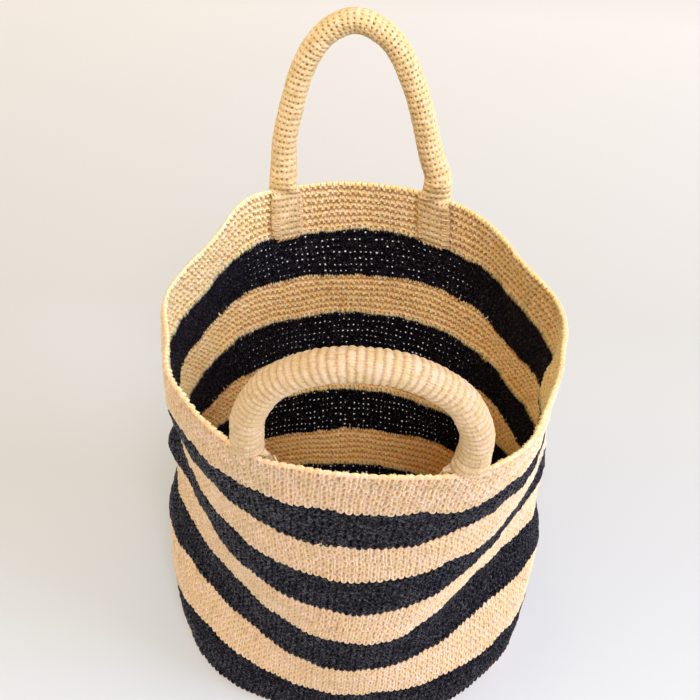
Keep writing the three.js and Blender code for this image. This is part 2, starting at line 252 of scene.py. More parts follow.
# One stitch, seen from outside. Columns go from the gap before it, over its left leg, its hole and
# its right leg. Levels go up: under the loop's edge, the loop's rounded lower edge, its front, three
# levels of the hole, and the legs that the next round's loops hang over.
COLUMNS = np.array([0, 0.2, 0.36, 0.5, 0.64, 0.8])
ASIDE = np.abs(2 * COLUMNS - 1)
LOOP = -0.22 + 0.34 * ASIDE ** 2.2
HOLE_Y = 0.38
OUT_Y = np.array([
    [0.14] * 6,
    LOOP,
    LOOP + 0.17,
    [0.38, 0.24, 0, 0, 0, 0.24],
    [0.50, 0.40, 0, 0, 0, 0.40],
    [0.62, 0.58, 0, 0, 0, 0.58],
    [0.85, 0.80, 0.80, 0.80, 0.80, 0.80],
])
OUT_OFF = np.array([
    [0.9] * 6,
    [1.1, 1.4, 1.5, 1.5, 1.5, 1.4],
    [1.35, 1.95, 2.05, 2.0, 2.05, 1.95],
    [1.3, 2.05, 0, 0, 0, 2.05],
    [1.2, 2.1, 0, 0, 0, 2.1],
    [1.2, 2.0, 0, 0, 0, 2.0],
    [1.2, 1.7, 1.5, 1.15, 1.5, 1.7],
])
OUT_RING = (3, 4, 5)
# The same stitch from inside: a groove, three levels of the hole with a short bar between two
# holes, and a longer bar above the hole
IN_Y = np.array([
    [0.06, 0.08, 0.10, 0.10, 0.10, 0.08],
    [0.22, 0.22, 0, 0, 0, 0.24],
    [0.36, 0.36, 0, 0, 0, 0.38],
    [0.50, 0.50, 0, 0, 0, 0.52],
    [0.86, 0.76, 0.72, 0.75, 0.79, 0.84],
])
IN_OFF = np.array([
    [-0.3, -0.2, 0, 0, 0, -0.2],
    [1.6, 0.6, 0, 0, 0, 0.6],
    [2.2, 1.3, 0, 0, 0, 1.3],
    [1.5, 0.5, 0, 0, 0, 0.5],
    [-0.2, 1.9, 2.4, 1.5, 2.4, 1.9],
])
IN_RING = (1, 2, 3)
# A handle's stitch: low rings, with a hole in the groove between two rings
TUBE_Y = np.array([
    [-0.06, -0.04, 0, 0, 0, -0.04],
    [0.08, 0.08, 0, 0, 0, 0.08],
    [0.22, 0.22, 0, 0, 0, 0.22],
    [0.36, 0.36, 0.38, 0.42, 0.38, 0.36],
    [0.50, 0.52, 0.56, 0.62, 0.56, 0.52],
    [0.68, 0.72, 0.76, 0.82, 0.76, 0.72],
])
TUBE_OFF = np.array([
    [1.75, 1.9, 0, 0, 0, 1.9],
    [1.6, 1.8, 0, 0, 0, 1.8],
    [1.7, 1.9, 0, 0, 0, 1.9],
    [1.8, 2.05, 2.1, 2.1, 2.1, 2.05],
    [1.85, 2.15, 2.2, 2.1, 2.2, 2.15],
    [1.8, 2.05, 2.1, 1.95, 2.1, 2.05],
])
TUBE_RING = (0, 1, 2)
# The eight points round a hole, as level and column
RING = [(0, 2), (0, 3), (0, 4), (1, 4), (2, 4), (2, 3), (2, 2), (1, 2)]
HOLE_CENTRE, WALL_LIP, WALL_INNER = 0.9, 0.6, 0.1  # how far out a hole's middle and its two edges are
DIAGONAL = 0.707
FLAT = 1.25  # parts of a stitch further out than this grow and shrink by chance
ROUGH_X, ROUGH_Y, ROUGH_OFF, ROUGHER_INSIDE = 0.022, 0.018, 0.09, 1.8
SLANT = 0.05  # each stitch sits a little to one side of the one below
MARKS = ("along", "up", "tone", "depth", "inside")
BAND_STRIPS = 3


class Mesh:
    """Gathers points, faces, attributes and the bake's map, and puts them in one Blender mesh."""

    def __init__(self):
        self.points, self.faces, self.uvs, self.marks = [], [], [], []
        self.count = 0

    def add(self, points, marks):
        """Points (n, 3) and their MARKS (n, 5). Returns the first one's index."""
        start = self.count
        self.points.append(np.asarray(points, float).reshape(-1, 3))
        self.marks.append(np.asarray(marks, float).reshape(-1, 5))
        self.count += len(self.points[-1])
        return start

    def quads(self, faces, uvs):
        self.faces.append(np.asarray(faces, int))
        self.uvs.append(np.asarray(uvs, float))

    def build(self, name, material, body, nodes=()):
        points = np.concatenate(self.points) * 0.001
        marks = np.concatenate(self.marks)
        sizes = np.concatenate([np.full(len(f), f.shape[1]) for f in self.faces])
        loops = np.concatenate([f.ravel() for f in self.faces])
        used = np.unique(loops)
        remap = np.full(len(points), -1)
        remap[used] = np.arange(len(used))
        points, marks, loops = points[used], marks[used], remap[loops]
        me = bpy.data.meshes.new(name)
        me.vertices.add(len(points))
        me.vertices.foreach_set("co", points.astype(np.float32).ravel())
        me.loops.add(len(loops))
        me.loops.foreach_set("vertex_index", loops.astype(np.int32))
        me.polygons.add(len(sizes))
        starts = np.append(0, np.cumsum(sizes)[:-1])
        me.polygons.foreach_set("loop_start", starts.astype(np.int32))
        me.update(calc_edges=True)
        me.polygons.foreach_set("use_smooth", np.ones(len(sizes), bool))
        for k, key in enumerate(MARKS):
            layer = me.attributes.new(key, "FLOAT", "POINT")
            layer.data.foreach_set("value", marks[:, k].astype(np.float32))
        layer = me.uv_layers.new(name="OFBake")
        flat = np.concatenate([x.reshape(-1, 2) for x in self.uvs])
        layer.data.foreach_set("uv", flat.astype(np.float32).ravel())
        me.materials.append(material)
        obj = bpy.data.objects.new(name, me)
        bpy.context.scene.collection.objects.link(obj)
        if body:
            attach(obj, body)
        if nodes:
            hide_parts(*nodes)
        return obj


def stitch_grid(rounds, stitches, y_table, off_table, ring, chance, side, hole_y=HOLE_Y, loose=1.0):
    """Arrays (rounds, levels, stitches, columns) of x, y and off for a sheet of stitches."""
    levels = len(y_table)
    shape = (rounds, levels, stitches, len(COLUMNS))
    x = np.broadcast_to(COLUMNS, shape).copy()
    y = np.broadcast_to(y_table[None, :, None, :], shape).copy()
    off = np.broadcast_to(off_table[None, :, None, :], shape).copy()
    for k, level in enumerate(ring):
        for c in (2, 3, 4):
            dx, dy = c - 3, k - 1
            reach = chance["hole"] * (DIAGONAL if dx and dy else 1)
            x[:, level, :, c] = 0.5 + dx * reach
            y[:, level, :, c] = hole_y + dy * reach * STITCH_WIDTH / ROUND_HEIGHT
            lip = chance["lip"] if dx or dy else HOLE_CENTRE
            off[:, level, :, c] = lip if side > 0 else chance["inner"]
    x += chance["dx"][:, None, :, None] * loose
    y += chance["dy"][:, None, :, None] * loose
    if side > 0:
        grow = 1 + (chance["grow"][:, None, :, None] - 1) * loose
    else:
        grow = chance["grow_in"][:, None, :, None]
    off = np.where(off > FLAT, off * grow, off)
    rough = 1.0 if side > 0 else ROUGHER_INSIDE
    x += rng.normal(0, ROUGH_X * rough, shape)
    y += rng.normal(0, ROUGH_Y * rough, shape)
    off += rng.normal(0, ROUGH_OFF * loose * rough, shape)
    return x, y, off


def flat_grid(x, y, off):
    """The same sheet as arrays (levels, points), with x and y counted on from stitch to stitch."""
    rounds, levels, stitches, cols = x.shape
    x = x + np.arange(stitches)[None, None, :, None]
    y = y + np.arange(rounds)[:, None, None, None]
    return [part.reshape(rounds * levels, stitches * cols) for part in (x, y, off)]


def chances(rounds, stitches, hole, lip, inner=0.0):
    """Each stitch's own hole, shift, growth and tone. The order of these draws has to stay."""
    shape = (rounds, stitches)
    return {
        "hole": hole,
        "lip": lip,
        "inner": inner,
        "dx": rng.normal(0, 0.06, shape),
        "dy": rng.normal(0, 0.06, shape),
        "grow": np.clip(rng.normal(1, 0.10, shape), 0.72, 1.2),
        "grow_in": np.clip(rng.normal(1, 0.14, shape), 0.65, 1.2),
        "tone": rng.random(shape),
    }


def grid_faces(levels, width, loop):
    """Quads (levels, width, 4) of a grid that closes round its width, and round its levels if loop."""
    rows = levels if loop else levels - 1
    low, m = np.meshgrid(np.arange(rows), np.arange(width), indexing="ij")
    high, n = (low + 1) % levels, (m + 1) % width
    faces = np.stack([low * width + m, low * width + n, high * width + n, high * width + m], -1)
    corners = np.stack([m, low], -1)[..., None, :] + np.array([(0.0, 0), (1, 0), (1, 1), (0, 1)])
    return faces, corners


def map_uv(corners, levels, width):
    """Cuts a band's long grid into strips, one above the other."""
    per = width / BAND_STRIPS
    strip = np.floor(corners[..., :1, 0] / per)
    u = (corners[..., 0] - strip * per) / per
    v = (strip + corners[..., 1] / levels) / BAND_STRIPS
    return np.stack([0.002 + 0.996 * u, 0.001 + 0.998 * v], -1)


def band_levels(rounds, chance, first, hang, last_top):
    """Levels of points up the outside of a band, and up its inside: rows of x, y and off for each."""
    n, cols = STITCHES, len(COLUMNS)
    out_x, out_y, out_off = stitch_grid(rounds, n, OUT_Y, OUT_OFF, OUT_RING, chance, 1)
    in_x, in_y, in_off = stitch_grid(rounds, n, IN_Y, IN_OFF, IN_RING, chance, -1)
    out_y[0, 1:3] -= hang
    # the lowest edge inside hangs in small teeth over the band below, two to a stitch
    teeth = -0.26 + 0.36 * np.abs(np.sin(2 * np.pi * COLUMNS))
    spikes = np.where(rng.random((n, cols)) < 0.14, -0.25, 0.0)
    in_y[0, 0] = teeth[None] + spikes + chance["dy"][0][:, None] * 1.5
    in_off[0, 0] = 2.45
    if first == 0:
        in_y[0, 0], in_off[0, 0] = 0.0, 0.6
    outer, inner = flat_grid(out_x, out_y, out_off), flat_grid(in_x, in_y, in_off)
    across = (np.arange(n)[:, None] + COLUMNS[None]).ravel()[None]
    lobe = np.tile(1 - ASIDE ** 2, n) + rng.normal(0, 0.04, n * cols)
    # above the last round: one level under the next band, or two that are the rim's scallops
    tops = [(rounds + 0.12 + 0 * lobe, 0.45 + 0 * lobe)]
    if last_top:
        tops = [(rounds - 0.05 + 0.04 * lobe, 0.9 + 0.7 * lobe),
                (rounds + 0.06 + 0.10 * lobe, 0.4 + 0.3 * lobe)]
    for top in tops:
        outer = [np.vstack([rows, row]) for rows, row in zip(outer, (across, *top))]
    inner = [np.vstack([rows, row]) for rows, row in zip(inner, (across, *tops[-1]))]
    return outer, inner, len(tops)


def crochet_band(name, first, rounds, cloth, holes, material, node, hang=0.0, last_top=False):
    """A closed band of crochet, some rounds high, with a hole through each stitch."""
    n, cols = STITCHES, len(COLUMNS)
    width = n * cols
    chance = chances(rounds, n, holes(rounds, n), WALL_LIP, WALL_INNER)
    outer, inner, tops = band_levels(rounds, chance, first, hang, last_top)
    x = np.vstack([outer[0], inner[0][::-1]])
    y = np.vstack([outer[1], inner[1][::-1]]) + first
    off = np.vstack([outer[2], -inner[2][::-1]])
    levels = len(x)
    points = cloth((x + SLANT * y) / n, y, off)

    stitch = np.arange(width) // cols
    rnd = np.concatenate([np.repeat(np.arange(rounds), len(OUT_Y)), [rounds - 1] * (tops + 1),
                          np.repeat(np.arange(rounds)[::-1], len(IN_Y))])
    tone = chance["tone"][rnd][:, stitch]
    inside = np.zeros_like(off)
    inside[len(outer[0]):] = 1
    # 0 at the bottom of a hole or groove, 1 on top: the mask of the painted shade in the hollows
    depth = np.clip(np.where(inside, -off + 0.1, off - 0.3) / 1.7, 0, 1)
    if last_top:
        # painted light: the crest, which is in the light, gets little of the painted hollow shade
        crest = slice(len(outer[0]) - tops, len(outer[0]) + 1)
        depth[crest] = np.maximum(depth[crest], 0.85)
    up = (rnd + first)[:, None] + (y - first - rnd[:, None]) * 0.1
    mesh = Mesh()
    mesh.add(points, np.stack([x * STITCH_WIDTH, up, tone, depth, inside], -1))

    # the sheet without its holes, then the holes' edges from the outside to the inside
    faces, corners = grid_faces(levels, width, True)
    keep = np.ones(faces.shape[:2], bool)
    r, s = np.meshgrid(np.arange(rounds), np.arange(n), indexing="ij")
    r, s = r.ravel(), s.ravel()
    out_level = [r * len(OUT_Y) + level for level in OUT_RING]
    in_level = [levels - 1 - (r * len(IN_Y) + level) for level in IN_RING]
    for k in (0, 1):
        for c in (2, 3):
            keep[out_level[k], s * cols + c] = False
            keep[in_level[k + 1], s * cols + c] = False
    uv = map_uv(corners, levels, width)
    mesh.quads(faces[keep], uv[keep])
    outs = np.stack([out_level[k] * width + s * cols + c for k, c in RING], -1)
    ins = np.stack([in_level[k] * width + s * cols + c for k, c in RING], -1)
    spots = np.array([(c, k) for k, c in RING], float)
    centre = np.array([3.0, 1.0])
    halfway = centre + (spots - centre) * 0.5
    for j in range(8):
        k = (j + 1) % 8
        quad = np.stack([outs[:, j], outs[:, k], ins[:, k], ins[:, j]], -1)
        ring = np.array([spots[j], spots[k], halfway[k], halfway[j]])
        place = ring[None] + np.stack([s * cols, out_level[0]], -1)[:, None]
        mesh.quads(quad, map_uv(place, levels, width))
    mesh.build(name, material, "bag", [node])


CELL, CELL_EDGE = 0.94, 0.03  # each tube has a cell of the map, with an edge round it


def tube(mesh, points, radii, sides, tone, up, across=(0.13, 0.21, 0.97)):
    """Closed tubes along rows of points (count, steps, 3) with radii (count, steps)."""
    count, steps = points.shape[:2]
    tangent = unit(np.gradient(points, axis=1))
    e1 = unit(np.cross(tangent, across))
    e2 = np.cross(tangent, e1)
    turn = np.arange(sides) * 2 * np.pi / sides
    ring = np.cos(turn)[:, None] * e1[..., None, :] + np.sin(turn)[:, None] * e2[..., None, :]
    body = points[..., None, :] + ring * radii[..., None, None]
    run = np.cumsum(np.linalg.norm(np.diff(points, axis=1, prepend=points[:, :1]), axis=-1), 1)
    tone = np.broadcast_to(np.asarray(tone, float).reshape(-1, 1, 1), (count, steps, sides))
    marks = np.stack([np.broadcast_to(turn * 1.2, (count, steps, sides)),
                      np.broadcast_to(run[..., None] * 0.1 + up, (count, steps, sides)), tone,
                      np.ones((count, steps, sides)), np.zeros((count, steps, sides))], -1)
    start = mesh.add(body, marks)
    ends = np.stack([points[:, 0], points[:, -1]], 1)
    end_marks = np.stack([marks[:, 0, 0], marks[:, -1, 0]], 1)
    tips = mesh.add(ends, end_marks)
    faces, corners = grid_faces(steps, sides, False)
    offset = start + (np.arange(count) * steps * sides)[:, None, None, None]
    quads = (faces[None] + offset).reshape(-1, 4)
    cells = math.ceil(math.sqrt(count))
    where = np.stack([np.arange(count) % cells, np.arange(count) // cells], -1)[:, None, None, None]
    uv = corners[None] / np.array([sides, steps + 1]) * CELL + CELL_EDGE
    uv[..., 1] += CELL / (steps + 1) / 2
    mesh.quads(quads, ((uv + where) / cells).reshape(-1, 4, 2))
    for end, step in ((0, 0), (1, steps - 1)):
        for j in range(sides):
            k = (j + 1) % sides
            first = start + np.arange(count) * steps * sides + step * sides
            tri = [tips + np.arange(count) * 2 + end, first + k, first + j]
            if end:
                tri[1], tri[2] = tri[2], tri[1]
            low = (step + 0.5) / (steps + 1)
            spot = np.array([[(j + 0.5) / sides, end], [k / sides if k else 1.0, low], [j / sides, low]])
            if end:
                spot = spot[[0, 2, 1]]
            spot = spot * CELL + CELL_EDGE
            mesh.quads(np.stack(tri, -1), (spot[None] + where[:, 0, 0]) / cells)


# Materials
def srgb(r, g, b):
    lin = lambda v: v / 12.92 if v <= 0.04045 else ((v + 0.055) / 1.055) ** 2.4
    return (lin(r / 255), lin(g / 255), lin(b / 255), 1)


class Nodes:
    """A material's nodes. A value is a number, a colour or another node's output."""

    def __init__(self, name):
        self.material = bpy.data.materials.new(name)
        self.material.use_nodes = True
        self.tree = self.material.node_tree
        self.tree.nodes.clear()

    def feed(self, socket, value):
        if isinstance(value, bpy.types.NodeSocket):
            self.tree.links.new(value, socket)
        else:
            socket.default_value = value

    def add(self, kind, values=()):
        """A new node, with a list of values for its first inputs or a dictionary for named ones."""
        node = self.tree.nodes.new(kind)
        for key, value in values.items() if isinstance(values, dict) else enumerate(values):
            self.feed(node.inputs[key], value)
        return node

    def attribute(self, name):
        node = self.add("ShaderNodeAttribute")
        node.attribute_name = name
        return node.outputs["Fac"]

    def place(self):
        return self.add("ShaderNodeTexCoord").outputs["Object"]

    def math(self, kind, *values):
        node = self.add("ShaderNodeMath", values)
        node.operation = kind
        return node.outputs[0]

    def line(self, value, slope, plus=0.0):
        """value * slope + plus"""
        value = self.math("MULTIPLY", value, slope)
        return self.math("ADD", value, plus) if plus else value

    def vector(self, x, y, z):
        return self.add("ShaderNodeCombineXYZ", (x, y, z)).outputs[0]

    def noise(self, vector, scale, detail, rough):
        values = {"Vector": vector, "Scale": scale, "Detail": detail, "Roughness": rough}
        return self.add("ShaderNodeTexNoise", values).outputs["Fac"]

    def ramp(self, value, stops):
        node = self.add("ShaderNodeValToRGB", [value])
        ramp = node.color_ramp
        while len(ramp.elements) < len(stops):
            ramp.elements.new(0.5)
        for element, (place, color) in zip(ramp.elements, stops):
            element.position = place
            element.color = color
        return node.outputs["Color"]

    def mix(self, kind, factor, a, b):
        node = self.add("ShaderNodeMix")
        node.data_type = "RGBA"
        node.blend_type = kind
        for key, value in ((0, factor), (6, a), (7, b)):
            self.feed(node.inputs[key], value)
        return node.outputs[2]

    def finish(self, values):
        """Ends in a principled shader with these values, and returns the material."""
        shader = self.add("ShaderNodeBsdfPrincipled", values)
        self.add("ShaderNodeOutputMaterial", [shader.outputs[0]])
        return self.material


WHITE = (1.0, 1.0, 1.0, 1.0)
# painted shade: colours that the hollows of the stitches darken towards, in place of the shade that falls in
# them
GREY_SHADE = (0.15, 0.13, 0.13, 1.0)
BROWN_SHADE = (0.50, 0.32, 0.17, 1.0)
DARK_SHADE = (0.24, 0.13, 0.06, 1.0)
INSIDE_LIGHT_ROUNDS = 42  # so many rounds below the rim the inside has the second of its two tints of painted light and shade


def raffia(name, stops, hollow_shade, rough, specular, contrast, bump, sparkle=0.0, glow=0.0, tint=WHITE,
           inside_lights_and_shades=(WHITE, WHITE), sheen=0.0, inner_hollow_shade=GREY_SHADE):
    """Raffia: each stitch and each length of strip has its own tone, with fine fibres along it, painted shade
    in its hollows, and painted light and shade inside the bag.
    """
    n = Nodes(name)
    along, up, tone, depth, inside = (n.attribute(mark) for mark in MARKS)
    # lengths of strip: the tone changes slowly along a round and at once between rounds
    rnd = n.math("FLOOR", up)
    lengths = n.noise(n.vector(n.line(along, 0.03), n.line(rnd, 3.7), 0.0), 1.0, 3.0, 0.6)
    legs = n.noise(n.vector(n.line(along, 0.45), n.line(rnd, 5.1), 7.0), 1.0, 2.0, 0.5)
    where = n.place()
    broad = n.noise(where, 9.0, 3.0, 0.55)
    patch = n.noise(where, 60.0, 3.0, 0.6)
    pick = n.line(tone, 0.22)
    for share, part in ((0.60, lengths), (0.40, legs), (0.22, broad), (0.50, patch)):
        pick = n.math("ADD", pick, n.line(part, share))
    pick = n.math("SUBTRACT", pick, 0.47)
    color = n.mix("MULTIPLY", 1.0, n.ramp(pick, stops), tint)
    # strips about a millimetre wide, and finer fibres
    strips = n.noise(where, 900.0, 2.0, 0.6)
    fine = n.noise(n.vector(n.line(along, 5.0), n.line(up, 9.0), tone), 1.0, 2.0, 0.6)
    fibre = n.math("ADD", n.line(strips, 0.65), n.line(fine, 0.35))
    light = n.line(n.math("SUBTRACT", fibre, 0.5), contrast * 3, 1.0)
    color = n.mix("MULTIPLY", 1.0, color, n.add("ShaderNodeCombineColor", [light] * 3).outputs[0])
    # painted shade: darker in the hollows, with another shade colour inside the bag
    bottom = n.mix("MIX", inside, hollow_shade, inner_hollow_shade)
    shade = n.mix("MIX", n.math("POWER", depth, 0.8), bottom, WHITE)
    color = n.mix("MULTIPLY", 1.0, color, shade)
    # painted light and shade inside the bag: a tint at the rim fading to a second one deep down
    deep = n.math("MAXIMUM", n.line(n.math("SUBTRACT", ROUNDS, up), 1 / INSIDE_LIGHT_ROUNDS), 0.0)
    inside_light_and_shade = n.mix("MIX", n.math("MINIMUM", deep, 1.0), *inside_lights_and_shades)
    color = n.mix("MIX", inside, color, n.mix("MULTIPLY", 1.0, color, inside_light_and_shade))
    raised = n.add("ShaderNodeBump", {"Strength": bump, "Distance": 0.0008, "Height": fibre})
    values = {"Base Color": color, "Roughness": n.line(fibre, 0.3, rough - 0.15),
              "Specular IOR Level": specular, "Normal": raised.outputs[0]}
    if sparkle:
        glints = n.noise(where, 480.0, 2.0, 0.6)
        glint = n.math("MAXIMUM", n.line(n.math("SUBTRACT", glints, 0.52), sparkle), 0.0)
        values["Specular IOR Level"] = n.math("ADD", glint, specular)
    if sheen:
        values.update({"Sheen Weight": sheen, "Sheen Roughness": 0.35, "Sheen Tint": (0.86, 0.82, 0.95, 1.0)})
    if glow:
        # daylight comes through the undyed strips
        values.update({"Subsurface Weight": glow, "Subsurface Radius": (1.0, 0.7, 0.45),
                       "Subsurface Scale": 0.005})
    return n.finish(values)


UNDYED = [
    (0.10, srgb(190, 139, 93)), (0.26, srgb(218, 170, 122)), (0.38, srgb(234, 193, 149)),
    (0.48, srgb(224, 181, 130)), (0.58, srgb(240, 197, 163)), (0.70, srgb(232, 185, 137)),
    (0.85, srgb(248, 214, 182)),
]
# the undyed raffia: painted shade in its hollows, and painted light inside the bag, brighter at the rim and
# brighter and warmer deep down
NATURAL = raffia("natural_raffia", UNDYED, BROWN_SHADE, rough=0.6, specular=0.4, contrast=0.6, bump=0.8, glow=0.7,
                 tint=(0.95, 1.0, 1.04, 1.0), inner_hollow_shade=(0.36, 0.24, 0.15, 1.0),
                 inside_lights_and_shades=((1.35, 1.46, 1.22, 1.0), (2.05, 1.72, 1.06, 1.0)))
# the handles: painted shade in their hollows, darkest on the back handle
HANDLE_RAFFIA = {
    "back": raffia("back_handle_raffia", UNDYED, DARK_SHADE, rough=0.6, specular=0.35, contrast=0.45, bump=0.6,
                   glow=0.5, tint=(0.90, 1.01, 0.86, 1.0)),
    "front": raffia("front_handle_raffia", UNDYED, BROWN_SHADE, rough=0.6, specular=0.3, contrast=0.3, bump=0.4,
                    glow=0.5, tint=(0.69, 0.78, 0.77, 1.0)),
}
# the black raffia: painted shade in its hollows, painted light at the inside rim and painted shade deep
# inside
BLACK = raffia("black_raffia", [
    (0.10, srgb(10, 9, 10)), (0.32, srgb(18, 16, 19)), (0.50, srgb(14, 14, 22)),
    (0.66, srgb(32, 27, 33)), (0.85, srgb(18, 21, 24)),
], GREY_SHADE, rough=0.30, specular=0.01, contrast=1.6, bump=1.0, sparkle=5.5, sheen=0.05,
    inside_lights_and_shades=((1.4, 1.4, 1.4, 1.0), (0.35, 0.32, 0.3, 1.0)))
THREAD = raffia("raffia_thread", [
    (0.2, srgb(204, 160, 108)), (0.5, srgb(224, 188, 138)), (0.8, srgb(238, 208, 166)),
], (0.7, 0.5, 0.3, 1.0), rough=0.6, specular=0.35, contrast=0.3, bump=0.3)
ROPE = raffia("rope_fibre", [
    (0.2, srgb(168, 132, 88)), (0.5, srgb(196, 160, 112)), (0.8, srgb(214, 184, 140)),
], (0.6, 0.45, 0.3, 1.0), rough=0.8, specular=0.2, contrast=0.4, bump=0.4)


# The bag's wall, heel and base
def black_holes(rounds, n):
    """A share of the holes is nearly shut, more of them in a band's first and last round."""
    r = rng.uniform(0.11, 0.21, (rounds, n))
    shut = np.full((rounds, 1), 0.25)
    shut[-1], shut[0] = 0.6, 0.35
    return np.where(rng.random((rounds, n)) < shut, 0.03, r)


def natural_holes(rounds, n):
    return rng.uniform(0.02, 0.07, (rounds, n))


for band in range(BANDS):
    from_top = BANDS - band
    black = from_top % 2 == 0
    color = "black" if black else "natural"
    node = "rim_band" if from_top == 1 else f"{color}_band_{math.ceil(from_top / 2)}"
    crochet_band(f"{node}_crochet", band * ROUNDS_PER_BAND, ROUNDS_PER_BAND, wall_cloth,
                 black_holes if black else natural_holes, BLACK if black else NATURAL,
                 node, 0.16 if black else -0.1, from_top == 1)

crochet_band("heel_band_crochet", 0, HEEL_ROUNDS, heel_cloth, natural_holes, NATURAL,
             "heel_band")


def base_piece():
    """Rounds from the middle to the heel, each a closed ring with its own number of stitches."""
    rounds = 20
    widest = STITCHES * 0.84
    cols = np.array([0, 0.3, 0.5, 0.7])
    aside = np.abs(2 * cols - 1)
    loop = -0.2 + 0.35 * aside ** 2
    table = [  # how far out in the round, and how far down, at each column
        (loop, [0.5, 1.2, 1.3, 1.2]),
        (loop + 0.25, [0.5, 2.0, 1.7, 2.0]),
        ([0.7] * 4, [0.4, 1.9, 0.9, 1.9]),
        ([1.15] * 4, [0.3] * 4),
        ([1.1] * 4, [-0.4] * 4),
        ([0.78, 0.74, 0.72, 0.76], [-1.1, -1.9, -2.0, -1.8]),
        ([0.4, 0.36, 0.36, 0.38], [-0.5, -1.2, -0.7, -1.1]),
        ([0.0] * 4, [-0.6] * 4),
    ]
    mesh = Mesh()
    for k in range(rounds):
        n = max(7, round(widest * (k + 0.6) / rounds))
        width = n * len(cols)
        x = np.array([(np.arange(n)[:, None] + cols[None]).ravel()] * len(table))
        y = np.array([np.tile(row[0], n) for row in table])
        off = np.array([np.tile(row[1], n) for row in table])
        x = x + rng.normal(0, 0.02, x.shape)
        off = off + rng.normal(0, 0.06, off.shape)
        share = np.clip(k / rounds + y / rounds, 0.004, 1.0)
        points = base_cloth((x + 0.4 * k) / n, share, off)
        tone = np.repeat(rng.random(n), len(cols))[None] + np.zeros_like(x)
        # mask of the painted shade in the hollows: 0 deep in a stitch, 1 on top
        depth = np.clip((np.abs(off) - 0.3) / 1.7, 0, 1)
        marks = np.stack([x * STITCH_WIDTH + 37 * k, k + y * 0.1, tone, depth, off < 0], -1)
        start = mesh.add(points, marks)
        faces, corners = grid_faces(len(table), width, True)
        uv = corners / np.array([width, len(table)])
        uv[..., 1] = (uv[..., 1] * 0.98 + k) / rounds
        mesh.quads((faces + start).reshape(-1, 4), uv.reshape(-1, 4, 2))
    mesh.build("base_crochet", NATURAL, "bag", ["base_disc"])


base_piece()


# Handles
def rim_angle(x, side):
    """Angle at which the back rim (side 1) or the front rim (side -1) passes x, found by halving."""
    low, high = (0.0, math.pi) if side > 0 else (math.pi, 2 * math.pi)
    for _ in range(40):
        middle = (low + high) / 2
        if (wall(middle, 1.0)[0] > x) == (side > 0):
            low = middle
        else:
            high = middle
    return (low + high) / 2


def arch_seat(arch):
    """A handle's feet, each as place across, angle and point on the rim, and the middle of its fold."""
    feet = []
    for across in (-arch["width"] / 2, arch["width"] / 2):
        angle = rim_angle(arch["x"] + across, arch["side"])
        feet.append((across, angle, wall(angle, 1.0)))
    pivot = np.array([arch["x"], (feet[0][2][1] + feet[1][2][1]) / 2,
                      max(feet[0][2][2], feet[1][2][2]) + PIVOT_RISE])
    return feet, pivot


def inside_point(angle, across, drop, depth):
    """Point inside the rim band, across and down from a foot's top, depth inwards of the cloth's middle."""
    h = 1 - drop / WALL_HEIGHT
    _, per = wall_frame(angle, h)
    u = angle + across / per
    n, _ = wall_frame(u, h)
    return wall(u, h) - n * np.asarray(depth)[..., None]


def smooth_path(stops, steps):
    """Even points along a smooth curve through stops."""
    fine = catmull(stops, np.linspace(0, len(stops) - 1, 40 * len(stops)))
    run = run_along(fine)
    return resample(np.linspace(0, run[-1], steps), run, fine)


FOOT_ROUND, LEG_ROUND = 5.9, 5.5  # a round's height in the feet and at the arch's ends
ARCH_STEPS, ARCH_START = 60, 6.0  # the arch's line starts so far above the fold
# How a handle is worked: stitches round it, the smallest and largest hole as shares of a stitch, how deep
# its grooves are, how loose it is. Its line: round height and radius at its top, radius at its ends, how
# much wider it gets close to the rim, how far its necks are moved away from the arch's middle, and how
# much wider the left and the right one are towards that middle.
HANDLE_LOOKS = {
    "back": dict(around=16, holes=(0.18, 0.32), relief=0.7, loose=0.8, top_round=4.35, top_radius=9.1,
                 end_radius=10.3, flare=1.0, aside=0.0, wider=(0.0, 2.5)),
    "front": dict(around=18, holes=(0.04, 0.10), relief=2.0, loose=0.4, top_round=3.85, top_radius=8.5,
                  end_radius=9.3, flare=0.0, aside=1.4, wider=(0.0, 5.0)),
}
# millimetres that each stop of a handle's line is out from its solid's, to the right and up
FULLER = {
    "back": [(0, 0)] * 11,
    "front": [(-0.6, 0), (-1.8, 0.4), (-2.8, 2.0), (-1.4, 2.3), (-0.4, 1.8), (0, 1.3), (0, 0.6),
              (0.4, 0.5), (1.6, 1.0), (2.6, 0.4), (1.0, 0)],
}
# A handle's foot: distance below the rim, half width, half thickness, squareness
FEET = {
    "back": [(FOOT_DROP + 1.5, 8.0, 1.3, 2.6), (FOOT_DROP - 1.5, 12.8, 2.4, 2.8),
             (FOOT_DROP - 7, 14.8, 2.9, 2.9), (30, 15.3, 3.0, 2.9), (18, 15.0, 3.0, 2.8),
             (7, 14.6, 3.1, 2.6), (2.5, 13.8, 3.4, 2.4)],
    "front": [(FOOT_DROP + 1.5, 8.0, 1.2, 2.6), (FOOT_DROP - 1.5, 12.8, 1.9, 2.8),
              (FOOT_DROP - 7, 14.8, 2.2, 2.9), (30, 15.3, 2.4, 2.9), (18, 15.0, 2.4, 2.8),
              (8, 14.6, 1.9, 2.6), (3.2, 14.2, 1.2, 2.5)],
}
# Its neck: height above the rim, distance inwards of it, half width, half thickness, turn towards the arch
NECKS = {
    "back": [(0.8, 3.6, 12.6, 5.2, 0.4), (4.0, 2.8, 12.0, 7.4, 0.65), (8.0, 2.0, 11.6, 9.0, 0.85)],
    "front": [(-1.0, 2.2, 11.5, 2.2, 0.2), (0.8, 1.8, 9.2, 4.6, 0.4), (3.4, 1.4, 8.8, 6.8, 0.6),
              (7.4, 1.0, 9.0, 8.4, 0.85)],
}


